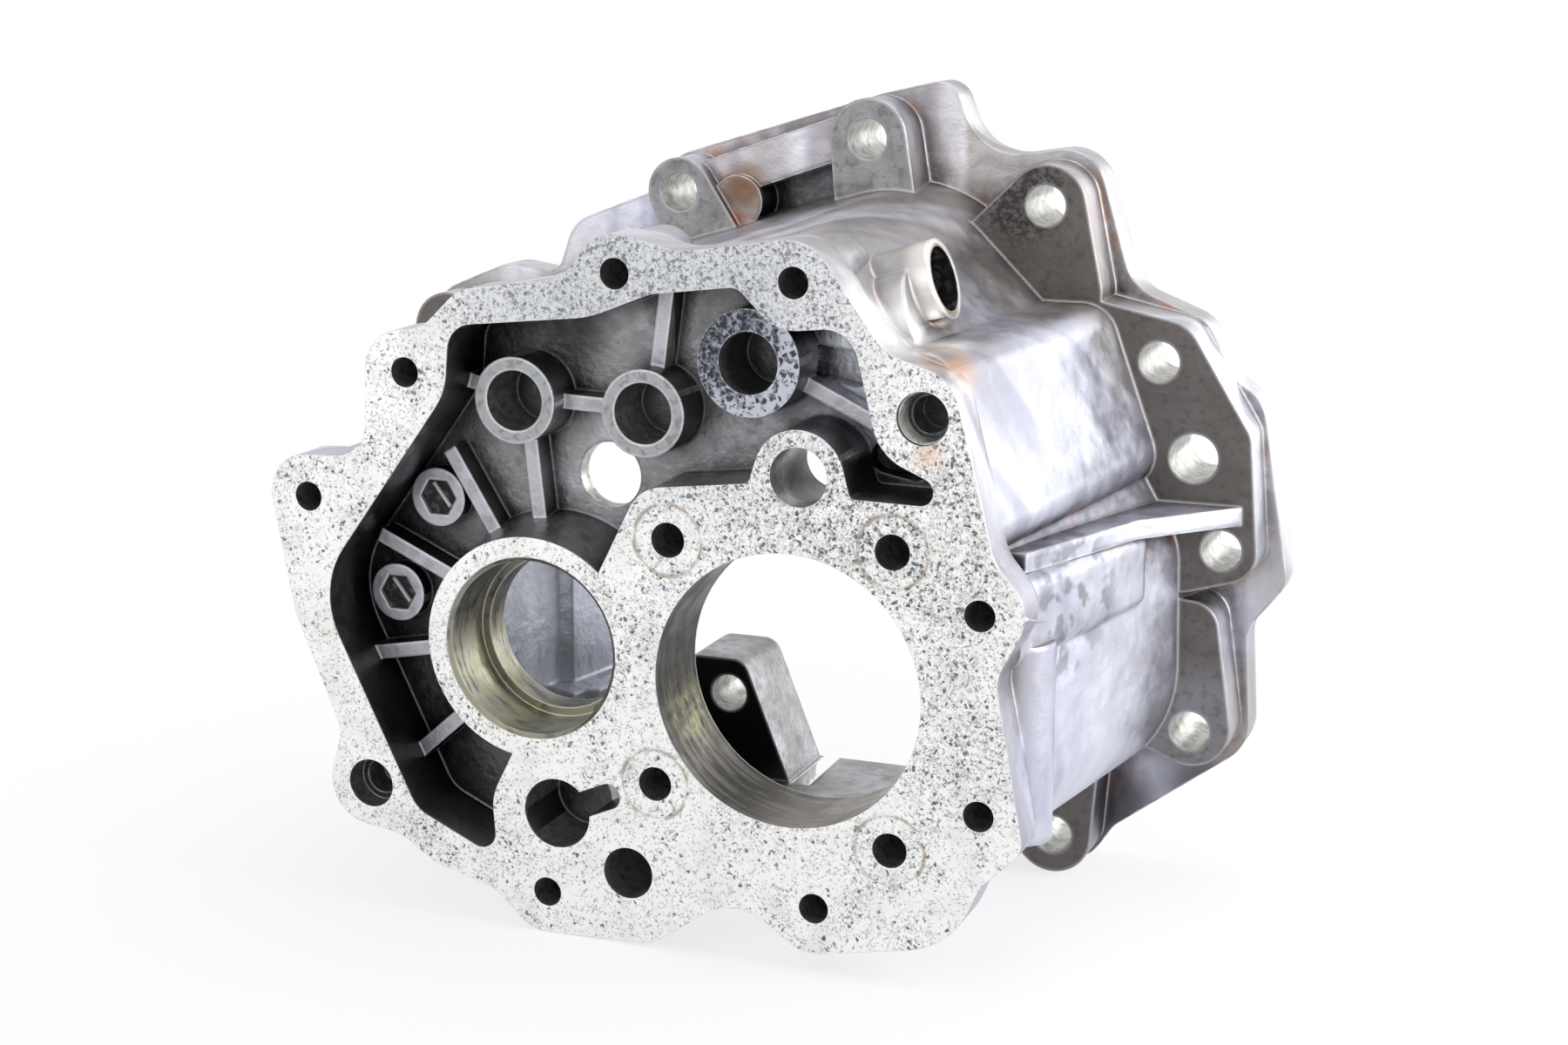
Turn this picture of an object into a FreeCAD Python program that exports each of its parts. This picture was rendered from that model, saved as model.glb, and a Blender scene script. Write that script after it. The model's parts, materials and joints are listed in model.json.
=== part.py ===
"""Rear housing of a manual gearbox: one aluminium casting, open at the back.

Frame, in millimetres: the origin is the centre of the main bearing bore on the machined
near face. Y runs along the shafts into the housing, X to the right and Z up, seen from
the near face. Outlines are given as (x, z) places in that view.
"""

import FreeCAD, Part

import math
import os

from FreeCAD import Placement, Rotation, Vector

doc = FreeCAD.newDocument("gearbox_housing")
sheet = doc.addObject("Spreadsheet::Sheet", "Dimensions")

DIMENSIONS = [
    ("housing_length", 116, "near face to back face, along the shafts"),
    ("seat_depth", 90, "near face to the flange's bolt seats"),
    ("flange_thickness", 11, "thin part of the back flange"),
    ("rim_thickness", 13, "outer rim of the near face"),
    ("bearing_wall", 26, "depth of the wall that carries the bearings"),
    ("pocket_depth", 21, "near face to the floor of the pocket"),
    ("wall", 6, "cast wall round the cavity"),
    ("main_bore", 72, "main bearing bore, diameter"),
    ("layshaft_bore", 47, "layshaft bearing bore, diameter"),
    ("layshaft_shoulder", 42, "opening behind the layshaft bearing, diameter"),
    ("layshaft_seat", 18, "depth of the layshaft bearing bore"),
    ("layshaft_x", -72, "layshaft axis to the right of the main axis"),
    ("layshaft_z", 4, "layshaft axis above the main axis"),
    ("layshaft_boss", 60, "ring round the layshaft bore, diameter"),
    ("bore_chamfer", 1.2, "chamfer of the layshaft bearing bore"),
    ("face_bolt", 8, "tapped holes of the near face, thread size"),
    ("face_bolt_depth", 18, "depth of those holes"),
    ("face_boss", 18, "cast boss behind each of them, diameter"),
    ("retainer_screw", 9.2, "holes round the main bore, diameter"),
    ("retainer_spotface", 18.5, "machined ring round each of them, diameter"),
    ("dowel_bore", 13.4, "stepped holes of the near face, diameter"),
    ("dowel_depth", 7, "depth of their wide part"),
    ("dowel_core", 9.5, "narrow part of the stepped holes, diameter"),
    ("rail_bore", 16, "shift rail bores, diameter"),
    ("rail_bore_depth", 17, "depth of the shift rail bores from their faces"),
    ("rail_boss_face", 8, "near face to the faces of the shift rail bosses"),
    ("rail_boss", 23, "shift rail bosses, diameter"),
    ("detent_boss", 27.6, "large boss by the top edge, diameter"),
    ("rib_thickness", 4, "ribs of the pocket"),
    ("rib_crest", 14, "near face to the crests of those ribs"),
    ("stamp_boss", 16, "round date stamp bosses, diameter"),
    ("stamp_face", 16.5, "near face to the faces of the date stamps"),
    ("flange_bolt", 11, "through holes of the flange, diameter"),
    ("flange_dowel", 13.3, "dowel hole of the flange, diameter"),
    ("lug_radius", 11, "seats round the flange bolts, radius"),
    ("port_bore", 17, "side port, diameter"),
    ("port_boss", 21, "boss of the side port, diameter"),
    ("port_tilt", 17, "side port above the horizontal, degrees"),
]
for row, (alias, value, note) in enumerate(DIMENSIONS, start=1):
    sheet.set(f"A{row}", note)
    sheet.set(f"B{row}", str(value))
    sheet.setAlias(f"B{row}", alias)
doc.recompute()


# Outlines: each round is (x, z, radius) and the outline runs clockwise round them like a
# belt. A hollow round has a negative radius.

NEAR_FACE = [
    (-107.0, 75.0, 11.5),
    (-105.0, 95.5, -8.5),
    (-85.0, 87.0, 11.5),
    (-66.0, 111.5, -10.0),
    (-46.0, 103.5, 10.5),
    (-28.0, 128.0, -17.5),
    (0.5, 103.0, 11.5),
    (34.0, 99.5, -13.5),
    (33.5, 73.5, 11.5),
    (65.0, 44.0, -12.0),
    (50.8, 24.8, 11.2),
    (67.0, 7.0, -11.5),
    (56.5, -32.5, 6.0),
    (59.5, -50.5, -9.0),
    (29.0, -43.0, 22.0),
    (7.5, -57.5, 11.8),
    (-14.0, -75.0, -15.0),
    (-42.0, -61.0, 12.5),
    (-68.3, -62.5, 12.0),
    (-90.0, -75.0, -12.0),
    (-99.0, -54.0, 6.0),
    (-115.5, -59.0, -7.0),
    (-121.5, -39.0, 12.0),
    (-142.0, -25.5, -11.5),
    (-125.0, 12.0, 18.5),
    (-137.5, 40.0, 11.2),
    (-129.0, 61.5, -10.0),
]

POCKET = [
    (-86.5, 81.5, 7.5),
    (-60.0, 120.0, -28.0),
    (-34.0, 90.0, 9.5),
    (-14.5, 97.5, 4.5),
    (2.0, 104.0, -11.8),
    (10.5, 84.5, 8.5),
    (36.0, 72.6, -13.5),
    (35.0, 54.5, 3.5),
    (18.5, 53.2, 2.0),
    (3.4, 55.7, -12.0),
    (-11.5, 55.0, 2.0),
    (-33.0, 39.5, -10.8),
    (-70.0, -41.0, -14.0),
    (-88.0, -48.5, 4.5),
    (-100.0, -37.0, 10.0),
    (-108.0, 12.0, 24.0),
    (-112.0, 77.0, -17.5),
]

# Flange, seen from the near face, at the back of the housing.
FLANGE = [
    (-67.6, 115.6, 10.5),
    (-8.0, 131.5, 12.5),
    (4.5, 140.0, 7.0),
    (27.5, 143.5, -15.8),
    (41.0, 117.5, 12.0),
    (71.5, 102.5, -13.0),
    (73.0, 74.0, 13.0),
    (92.5, 73.0, -5.0),
    (89.5, 57.5, 9.5),
    (96.5, 15.5, 9.5),
    (103.5, -3.0, -7.5),
    (84.5, -28.0, 13.0),
    (66.0, -68.0, -8.0),
    (45.5, -62.0, 12.4),
    (10.0, -92.0, -24.0),
    (-30.0, -61.0, 12.0),
    (-62.0, -88.0, -20.0),
    (-95.0, -62.0, 12.4),
    (-137.0, -36.0, 12.0),
    (-168.0, -12.0, -20.0),
    (-145.0, 14.0, 12.5),
    (-175.0, 42.0, -20.0),
    (-143.0, 72.0, 12.5),
    (-128.5, 78.0, 12.5),
    (-117.0, 94.0, -5.0),
    (-99.5, 95.5, 11.0),
    (-86.0, 121.0, -8.0),
]

# Cast body: the same rounds near the front and at the back, skinned straight between.
BODY_NEAR = [
    (-117.0, 22.0, 22.0),
    (-80.0, 75.0, 18.5),
    (-5.0, 91.0, 18.0),
    (24.0, 63.0, 18.5),
    (37.0, 12.0, 15.0),
    (40.0, -30.0, 14.5),
    (15.0, -42.0, 18.0),
    (-72.0, -46.0, 20.0),
    (-106.0, -30.0, 22.0),
]
BODY_FAR = [
    (-123.0, 24.0, 24.0),
    (-107.0, 70.0, 20.0),
    (-3.0, 79.5, 41.5),
    (29.0, 66.0, 28.0),
    (60.0, 22.0, 28.0),
    (45.0, -3.0, 43.0),
    (20.0, -40.0, 22.0),
    (-88.0, -42.0, 20.0),
    (-118.0, -22.0, 24.0),
]

# Bulge on the right side, by the upper flange bolts.
BULGE_NEAR = [(5.0, 78.0, 9.0), (32.0, 78.0, 9.0), (43.0, 44.0, 9.0), (5.0, 44.0, 9.0)]
BULGE_FAR = [(20.0, 80.0, 10.0), (52.0, 80.0, 10.0), (63.0, 50.0, 10.0), (20.0, 50.0, 10.0)]

# Worn pad below it, and the inner lug's outline.
PAD_NEAR = [(30.0, 27.5, 4.0), (54.5, 27.5, 4.0), (54.5, 13.0, 4.0), (30.0, 13.0, 4.0)]
PAD_FAR = [(46.0, 29.0, 4.0), (71.0, 29.0, 4.0), (71.0, 16.0, 4.0), (46.0, 16.0, 4.0)]
INNER_LUG_FORM = [
    (-62.0, -27.0, 6.5), (-52.0, -26.0, 5.5), (-43.0, -58.0, 9.0), (-80.0, -58.0, 10.0),
]

FACE_BOLTS = [
    (-106.7, 75.3), (-46.0, 104.0), (2.0, 104.0), (50.8, 24.8), (51.3, -26.6),
    (7.7, -57.0), (-68.3, -63.0), (-137.3, 39.8),
]
STEPPED_HOLES = [(35.5, 72.6), (-121.3, -39.0)]
RETAINER_SCREWS = [(28.0, 38.7), (28.0, -38.7), (-32.3, 36.6), (-36.6, -29.0)]
RAIL_BOSSES = [(-79.0, 68.3), (-42.3, 67.3)]
DETENT_BOSS = (-12.4, 82.4)
STAMPS = [(-107.0, 38.6), (-120.4, 10.9)]
RIB_ANGLES = [96.0, 121.5, 155.7, 190.6, 221.6]
FLANGE_BOLTS = [
    (-11.0, 132.0), (40.0, 115.6), (72.4, 75.0), (91.0, 24.6), (84.2, -27.0),
    (46.0, -62.0), (-67.6, 115.6), (-95.0, -62.0), (-137.0, -36.0), (-145.0, 14.0),
    (-143.0, 72.0), (-30.0, -61.0),
]
FLANGE_DOWEL = (82.6, 49.4)
INNER_LUG = (-53.0, -31.0)

# Arcs on each round of a skinned form, which keep its ruled faces narrow.
SKIN_ARCS = 4

# Mouths of the side port and of the thicker foot below it, as (x, y, z).
PORT = (29.0, 36.0, 102.0)
PORT_FOOT = (26.0, 31.0, 93.0)


def size(alias):
    """The value of one cell of the sheet, as a plain number."""
    return float(sheet.get(alias))


def bind(item, **sizes):
    """Tie properties of an object to expressions over the sheet's cells."""
    for name, expression in sizes.items():
        item.setExpression(name.replace("__", "."), expression)
    return item


def belt(rounds, y, arcs=1):
    """A closed wire at depth y: one or more arcs on each round and the straight runs between."""
    normals = []
    for (x1, z1, r1), (x2, z2, r2) in zip(rounds, rounds[1:] + rounds[:1]):
        gap = math.hypot(x2 - x1, z2 - z1)
        across = math.atan2(z2 - z1, x2 - x1)
        lean = max(-1.0, min(1.0, (r1 - r2) / gap))
        normals.append(across + math.acos(lean))
    spans = []
    for (x, z, radius), start, end in zip(rounds, normals[-1:] + normals[:-1], normals):
        turn = (end - start) % math.tau
        if radius > 0:
            turn -= math.tau
        places = [start + turn * step / (2 * arcs) for step in range(2 * arcs + 1)]
        spans.append([
            Vector(x + radius * math.cos(a), y, z + radius * math.sin(a)) for a in places
        ])
    edges = []
    for span, following in zip(spans, spans[1:] + spans[:1]):
        if span[0].distanceToPoint(span[-1]) > 0.01:
            edges += [Part.Arc(*span[i:i + 3]).toShape() for i in range(0, 2 * arcs, 2)]
        if span[-1].distanceToPoint(following[0]) > 0.01:
            edges.append(Part.makeLine(span[-1], following[0]))
    return Part.Wire(edges)


def outline(name, rounds, y):
    """A flat face inside a belt, as an object that extrusions can use."""
    face = doc.addObject("Part::Feature", name)
    face.Shape = Part.Face(belt(rounds, y))
    return face


def slab(name, rounds, start, end):
    """The outline filled from one depth to another, both given as expressions."""
    flat = outline(name + "_outline", rounds, 0)
    solid = doc.addObject("Part::Extrusion", name)
    solid.Base = flat
    solid.DirMode = "Custom"
    solid.Dir = Vector(0, 1, 0)
    solid.Solid = True
    bind(solid, LengthFwd=f"({end}) - ({start})", Placement__Base__y=start)
    return solid


def cylinder(name, place, diameter, start, end):
    """A cylinder along Y at (x, z), sized by expressions."""
    solid = doc.addObject("Part::Cylinder", name)
    solid.Placement = Placement(Vector(place[0], 0, place[1]), Rotation(Vector(1, 0, 0), -90))
    return bind(
        solid,
        Radius=f"({diameter}) / 2",
        Height=f"({end}) - ({start})",
        Placement__Base__y=start,
    )


def cone(name, place, first, last, start, end):
    """A cone along Y at (x, z), from one diameter to another."""
    solid = doc.addObject("Part::Cone", name)
    solid.Placement = Placement(Vector(place[0], 0, place[1]), Rotation(Vector(1, 0, 0), -90))
    return bind(
        solid,
        Radius1=f"({first}) / 2",
        Radius2=f"({last}) / 2",
        Height=f"({end}) - ({start})",
        Placement__Base__y=start,
    )


def join(name, parts):
    """All the parts fused into one."""
    fused = doc.addObject("Part::MultiFuse", name)
    fused.Shapes = parts
    fused.Refine = False
    return fused


def cut(name, base, tool):
    """The base without the tool."""
    rest = doc.addObject("Part::Cut", name)
    rest.Base = base
    rest.Tool = tool
    rest.Refine = False
    return rest


def skin(name, first, first_y, last, last_y):
    """A solid with straight walls between two belts that have the same rounds."""
    sections = []
    for end, rounds, y in (("_near", first, first_y), ("_far", last, last_y)):
        section = doc.addObject("Part::Feature", name + end)
        section.Shape = belt(rounds, y, SKIN_ARCS)
        sections.append(section)
    solid = doc.addObject("Part::Loft", name)
    solid.Sections = sections
    solid.Solid = True
    solid.Ruled = True
    return solid


def shrunk(rounds, amount):
    """The rounds of the same outline drawn in by an amount."""
    return [(x, z, radius - amount) for x, z, radius in rounds]


def outer_form():
    """Everything that stands before the hollows and holes are cut."""
    parts = [
        slab("near_rim", NEAR_FACE, "0", "Dimensions.rim_thickness"),
        skin("body", BODY_NEAR, 5, BODY_FAR, size("housing_length")),
        slab(
            "flange", FLANGE,
            "Dimensions.housing_length - Dimensions.flange_thickness",
            "Dimensions.housing_length",
        ),
    ]
    for number, place in enumerate(FACE_BOLTS, start=1):
        parts.append(cylinder(
            f"face_boss_{number}", place, "Dimensions.face_boss",
            "Dimensions.rim_thickness - 5", "Dimensions.face_bolt_depth + 14",
        ))
    parts += flange_seats()
    parts += top_rim()
    parts += side_forms()
    return join("outer_form", parts)


def top_rim():
    """The rim along the flange's top edge and the round web at its left end."""
    rim = [(-63.0, 119.5, 4.0), (-14.0, 136.0, 4.0), (-14.0, 131.0, 3.0), (-62.0, 114.5, 3.0)]
    return [
        slab(
            "top_rim", rim, "Dimensions.seat_depth + 5",
            "Dimensions.housing_length - 3",
        ),
        cylinder(
            "top_web", (-51.0, 113.0), "15", "Dimensions.seat_depth + 3",
            "Dimensions.housing_length - 3",
        ),
    ]


def flange_seats():
    """The raised seats round the flange bolts, each run in to the body."""
    radius = size("lug_radius")
    seats = {
        "seat_top": [(-11, 132, radius), (-8, 108, radius + 1)],
        "seat_upper": [(40, 115.6, radius), (45, 92, radius), (20, 96, radius)],
        "seat_right": [
            (73, 75.5, radius), (91, 54, 7), (92, 24, 8.5), (80, 22, 10), (50, 40, 8),
            (48, 82, 10),
        ],
        "seat_low_right": [(84.2, -26, radius), (60, -20, 8), (60, 4, 8), (83, 2, 8)],
        "seat_bottom": [(46, -62, radius), (30, -50, 8), (48, -36, radius)],
        "seat_top_left": [(-67.6, 115.6, radius - 1.5), (-58, 98, radius)],
        "seat_left_1": [(-143, 72, radius), (-120, 60, radius)],
        "seat_left_3": [(-145, 14, radius), (-130, 14, radius)],
        "seat_left_4": [(-137, -36, radius), (-122, -30, radius)],
        "seat_left_5": [(-95, -62, radius), (-92, -48, radius)],
        "seat_bottom_middle": [(-30, -61, radius - 1), (-30, -48, radius - 1)],
    }
    return [
        slab(name, rounds, "Dimensions.seat_depth", "Dimensions.housing_length - 3")
        for name, rounds in seats.items()
    ]


def side_forms():
    """The bulge, pad, web and pillar on the right side, and the boss of the side port."""
    bulge = skin("bulge", BULGE_NEAR, 10, BULGE_FAR, 94)
    pad = skin("pad", PAD_NEAR, 10, PAD_FAR, 70)
    web = doc.addObject("Part::Feature", "web")
    edge = [(40, 18), (57, 18), (74, 64), (97, 91), (97, 110), (40, 110), (40, 18)]
    web.Shape = Part.Face(Part.makePolygon([Vector(x, y, 32) for x, y in edge])).extrude(
        Vector(0, 0, 5)
    )
    pillar = doc.addObject("Part::Cylinder", "pillar")
    pillar.Radius = 10
    pillar.Height = 52
    pillar.Placement = Placement(Vector(54, 22, -38), Rotation())
    port = port_form("port_form", PORT, "Dimensions.port_boss", 0)
    foot = port_form("port_foot", PORT_FOOT, "Dimensions.port_boss + 6", 0)
    return [bulge, pad, web, pillar, port, foot]


def port_form(name, mouth, diameter, lift):
    """A cylinder on a line with the side port, out of the body's upper right shoulder."""
    tilt = math.radians(size("port_tilt"))
    outward = Vector(math.cos(tilt), 0, math.sin(tilt))
    solid = doc.addObject("Part::Cylinder", name)
    base = Vector(*mouth) + outward * (lift - 40)
    solid.Placement = Placement(base, Rotation(Vector(0, 0, 1), outward))
    return bind(solid, Radius=f"({diameter}) / 2", Height="40")


def hollows():
    """The cavity behind the bearing wall and the pocket in the near face."""
    room = doc.addObject("Part::Box", "room_behind_wall")
    room.Placement = Placement(Vector(-300, 0, -200), Rotation())
    room.Length = 600
    room.Height = 500
    bind(room, Width="Dimensions.housing_length", Placement__Base__y="Dimensions.bearing_wall")
    form = skin(
        "cavity_form", shrunk(BODY_NEAR, size("wall")), 5,
        shrunk(BODY_FAR, size("wall")), size("housing_length") + 2,
    )
    cavity = doc.addObject("Part::MultiCommon", "cavity")
    cavity.Shapes = [form, room]
    cavity.Refine = False
    pocket = slab("pocket", POCKET, "-1", "Dimensions.pocket_depth")
    return join("hollows", [cavity, pocket])


def pocket_forms():
    """What stands in the pocket and the cavity."""
    axis = (size("layshaft_x"), size("layshaft_z"))
    parts = [
        cone(
            "layshaft_ring", axis, "Dimensions.layshaft_boss", "Dimensions.layshaft_boss + 8",
            "0", "Dimensions.bearing_wall",
        ),
        cylinder(
            "detent_boss", DETENT_BOSS, "Dimensions.detent_boss",
            "Dimensions.rail_boss_face - 2", "Dimensions.bearing_wall + 6",
        ),
        cylinder(
            "flush_boss", (3.4, 55.7), "24", "0", "Dimensions.bearing_wall",
        ),
    ]
    for number, place in enumerate(RAIL_BOSSES, start=1):
        parts.append(cylinder(
            f"rail_boss_{number}", place, "Dimensions.rail_boss",
            "Dimensions.rail_boss_face", "Dimensions.bearing_wall + 6",
        ))
    for number, place in enumerate(STAMPS, start=1):
        parts.append(cylinder(
            f"stamp_boss_{number}", place, "Dimensions.stamp_boss", "Dimensions.stamp_face",
            "Dimensions.bearing_wall - 1",
        ))
    for number, angle in enumerate(RIB_ANGLES, start=1):
        parts.append(rib(f"pocket_rib_{number}", axis, angle, 57.0))
    parts.append(rib("rail_rib_left", (-79.0, 68.3), 168.0, 20.0))
    parts.append(rib("rail_rib_middle", (-79.0, 68.3), -2.0, 36.0))
    parts.append(rib("rail_rib_top", (-42.3, 67.3), 82.0, 32.0))
    parts.append(rib("detent_rib", DETENT_BOSS, -25.0, 34.0))
    parts.append(slab(
        "inner_lug", INNER_LUG_FORM,
        "Dimensions.seat_depth", "Dimensions.housing_length",
    ))
    return parts


def rib(name, foot, angle, length):
    """A thin wall on the pocket floor, from a place out along an angle."""
    web = doc.addObject("Part::Box", name)
    turn = Rotation(Vector(0, 1, 0), -angle)
    half = turn.multVec(Vector(0, 0, -size("rib_thickness") / 2))
    web.Placement = Placement(Vector(foot[0], 0, foot[1]) + half, turn)
    web.Length = length
    return bind(
        web,
        Height="Dimensions.rib_thickness",
        Width="Dimensions.bearing_wall - 1 - Dimensions.rib_crest",
        Placement__Base__y="Dimensions.rib_crest",
    )


def bearing_bores():
    """Both bearing bores, with the chamfer and the shoulder of the layshaft's."""
    axis = (size("layshaft_x"), size("layshaft_z"))
    return [
        cylinder("main_bore", (0, 0), "Dimensions.main_bore", "-1", "Dimensions.bearing_wall + 1"),
        cylinder("layshaft_bore", axis, "Dimensions.layshaft_bore", "-1", "Dimensions.layshaft_seat"),
        cylinder(
            "layshaft_shoulder", axis, "Dimensions.layshaft_shoulder", "0",
            "Dimensions.bearing_wall + 1",
        ),
        cone(
            "layshaft_chamfer", axis, "Dimensions.layshaft_bore + 4 * Dimensions.bore_chamfer",
            "Dimensions.layshaft_bore", "-Dimensions.bore_chamfer", "Dimensions.bore_chamfer",
        ),
    ]


def near_holes():
    """Tapped, stepped, retainer and rail holes, the keyhole and the windows."""
    parts = []
    for number, place in enumerate(FACE_BOLTS, start=1):
        parts.append(cylinder(
            f"face_bolt_{number}", place, "Dimensions.face_bolt", "-1",
            "Dimensions.face_bolt_depth",
        ))
    for number, place in enumerate(RETAINER_SCREWS, start=1):
        parts.append(cylinder(
            f"retainer_screw_{number}", place, "Dimensions.retainer_screw", "-1",
            "Dimensions.bearing_wall - 5",
        ))
        parts.append(cylinder(
            f"retainer_spotface_{number}", place, "Dimensions.retainer_spotface", "-1", "0.4",
        ))
    for number, place in enumerate(STEPPED_HOLES, start=1):
        parts.append(cylinder(
            f"stepped_hole_{number}", place, "Dimensions.dowel_bore", "-1",
            "Dimensions.dowel_depth",
        ))
        parts.append(cylinder(
            f"stepped_core_{number}", place, "Dimensions.dowel_core", "0",
            "Dimensions.dowel_depth + 8",
        ))
    for number, place in enumerate(RAIL_BOSSES + [DETENT_BOSS], start=1):
        parts.append(cylinder(
            f"rail_bore_{number}", place, "Dimensions.rail_bore", "0",
            "Dimensions.rail_boss_face + Dimensions.rail_bore_depth",
        ))
    for number, place in enumerate(STAMPS, start=1):
        parts.append(hexagon(f"stamp_recess_{number}", place, 5.4))
    parts += [
        cylinder("flush_bore", (3.4, 55.7), "15.2", "-1", "Dimensions.bearing_wall + 1"),
        cylinder("window", (-57.7, 47.7), "17.6", "10", "Dimensions.bearing_wall + 1"),
        cylinder("keyhole", (-65.0, -40.5), "19", "-1", "Dimensions.bearing_wall - 6"),
        slab(
            "keyhole_slot", [(-65, -40.5, 3.5), (-50, -34, 3.5)], "-1",
            "Dimensions.bearing_wall - 12",
        ),
        slab(
            "upper_window", [(-1, 82, 4), (11, 80, 4.5)], "Dimensions.pocket_depth - 2",
            "Dimensions.bearing_wall + 1",
        ),
        slab(
            "right_window", [(19, 58, 4), (27, 56.5, 4)], "Dimensions.pocket_depth - 2",
            "Dimensions.bearing_wall + 1",
        ),
        cylinder("plain_hole", (-44.5, -54.5), "14", "-1", "Dimensions.bearing_wall - 4"),
    ]
    return parts


def hexagon(name, place, radius):
    """The six-sided recess in a date stamp."""
    prism = doc.addObject("Part::Prism", name)
    prism.Polygon = 6
    prism.Circumradius = radius
    prism.Height = 3
    prism.Placement = Placement(Vector(place[0], 0, place[1]), Rotation(Vector(1, 0, 0), -90))
    return bind(prism, Placement__Base__y="Dimensions.stamp_face - 2")


def flange_holes():
    """Through holes of the flange and of the lug inside it."""
    parts = []
    for number, place in enumerate(FLANGE_BOLTS + [INNER_LUG], start=1):
        parts.append(cylinder(
            f"flange_bolt_{number}", place, "Dimensions.flange_bolt",
            "Dimensions.seat_depth - 1", "Dimensions.housing_length + 1",
        ))
    parts.append(cylinder(
        "flange_dowel", FLANGE_DOWEL, "Dimensions.flange_dowel",
        "Dimensions.seat_depth - 1", "Dimensions.housing_length + 1",
    ))
    return parts


def build_casting():
    """The whole casting: form, hollows, what stands in them, then the machining."""
    shell = cut("shell", outer_form(), hollows())
    full = join("full_form", [shell] + pocket_forms())
    holes = bearing_bores() + near_holes() + flange_holes()
    holes.append(port_form("port_bore", PORT, "Dimensions.port_bore", 1))
    casting = doc.addObject("Part::Refine", "housing_casting")
    casting.Source = cut("machined_form", full, join("machining", holes))
    casting.Label = "housing_casting"
    return casting


def check_and_write(parts):
    """Stop on any failed object, then write one STEP file for each part."""
    doc.recompute()
    failed = [item.Name for item in doc.Objects if {"Invalid", "Error"} & set(item.State)]
    if failed:
        raise RuntimeError(f"failed: {failed}")
    os.makedirs("parts", exist_ok=True)
    for part in parts:
        if part.Shape.isNull() or not part.Shape.isValid():
            raise RuntimeError(f"bad shape: {part.Label}")
        part.Shape.exportStep(f"parts/{part.Label}.step")
        print(part.Label, "solids", len(part.Shape.Solids), "volume", round(part.Shape.Volume))
        print("box", part.Shape.BoundBox, "centre", part.Shape.CenterOfGravity)


check_and_write([build_casting()])
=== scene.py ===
"""Looks of the rear housing of a manual gearbox: a bare aluminium casting with milled faces.

The casting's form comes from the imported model. Each face of it is sorted by how it was made,
such as cast, milled or bored, and gets the finish of that making. A few thin forms are added.
x points right, y into the housing and z up, from the centre of the main bearing bore on the
near face. Lengths are in metres, and in millimetres where a name ends in _MM or _mm.
"""

import json
import math

import bmesh
import bpy
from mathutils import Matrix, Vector
from mathutils.bvhtree import BVHTree


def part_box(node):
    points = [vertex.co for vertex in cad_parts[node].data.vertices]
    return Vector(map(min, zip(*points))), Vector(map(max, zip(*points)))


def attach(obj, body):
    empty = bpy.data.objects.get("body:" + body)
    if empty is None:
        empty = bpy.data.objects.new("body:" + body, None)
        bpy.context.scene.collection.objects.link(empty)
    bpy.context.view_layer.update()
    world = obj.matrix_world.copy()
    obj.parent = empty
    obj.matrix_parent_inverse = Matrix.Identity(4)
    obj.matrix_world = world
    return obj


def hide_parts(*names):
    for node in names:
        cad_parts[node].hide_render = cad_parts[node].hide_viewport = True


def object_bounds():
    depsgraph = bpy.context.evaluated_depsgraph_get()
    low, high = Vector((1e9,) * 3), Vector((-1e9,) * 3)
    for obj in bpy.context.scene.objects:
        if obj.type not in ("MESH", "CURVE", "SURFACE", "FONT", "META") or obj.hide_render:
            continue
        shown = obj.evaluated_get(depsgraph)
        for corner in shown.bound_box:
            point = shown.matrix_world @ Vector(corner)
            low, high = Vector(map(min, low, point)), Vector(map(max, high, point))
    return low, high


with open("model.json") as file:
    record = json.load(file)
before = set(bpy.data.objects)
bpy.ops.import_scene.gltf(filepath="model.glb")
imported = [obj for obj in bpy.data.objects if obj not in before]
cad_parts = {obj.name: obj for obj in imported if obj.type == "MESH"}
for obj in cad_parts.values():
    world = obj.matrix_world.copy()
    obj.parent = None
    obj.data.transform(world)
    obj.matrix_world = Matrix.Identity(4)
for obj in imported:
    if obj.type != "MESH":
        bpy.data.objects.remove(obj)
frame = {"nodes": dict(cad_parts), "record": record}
cad_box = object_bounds()

MM = 0.001
CASTING = "housing_casting"
MOUNTS = {mount["name"]: mount for mount in frame["record"]["mounts"]}
MAIN_BORE = MOUNTS["main_bearing_bore"]
LAYSHAFT_BORE = MOUNTS["layshaft_bearing_bore"]

# Depths of the machined faces behind the near face, and how far off one a face may lie.
NEAR_FACE_MM = 0.6
BOSS_FACES_MM = (6.0, 8.0)
RIB_CREST_MM = 14.0
STAMP_FACE_MM = 16.5
STAMP_DEPTH_MM = 2.0
BEARING_WALL_MM = 26.0
SEAT_FACE_MM = 90.0
BACK_FACE_MM = 116.0
SAME_DEPTH_MM = 0.2
# How far along y the normal of a face points that counts as square to y.
FACING = 0.99

# Places on the near face, as x and z, and their sizes.
DETENT_BOSS_MM = (-12.4, 82.4)
DETENT_RADIUS_MM = 14.0
SPOT_FACES_MM = ((28.0, 38.7), (28.0, -38.7), (-32.3, 36.6), (-36.6, -29.0))
SPOT_FACE_RADIUS_MM = 9.4
STAMPS_MM = ((-107.0, 38.6), (-120.4, 10.9))
STAMP_RADIUS_MM = 8.5
UPPER_DOWEL_MM = (35.5, 72.6)

DRILL_RADII_MM = (3.9, 9.6)
# How far the shoulder of a bearing bore reaches inside its wall, and the chamfer outside.
BORE_SHOULDER_MM = 3.0
BORE_CHAMFER_MM = 2.8
PORT_MM = (29.0, 36.0, 102.0)
PORT_TILT = math.radians(17)
PORT_BORE_REACH_MM = 9.0
SMOOTH_ANGLE = math.radians(28)
MERGE_MM = 0.01
STREAK_TURN = math.radians(40)

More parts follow.
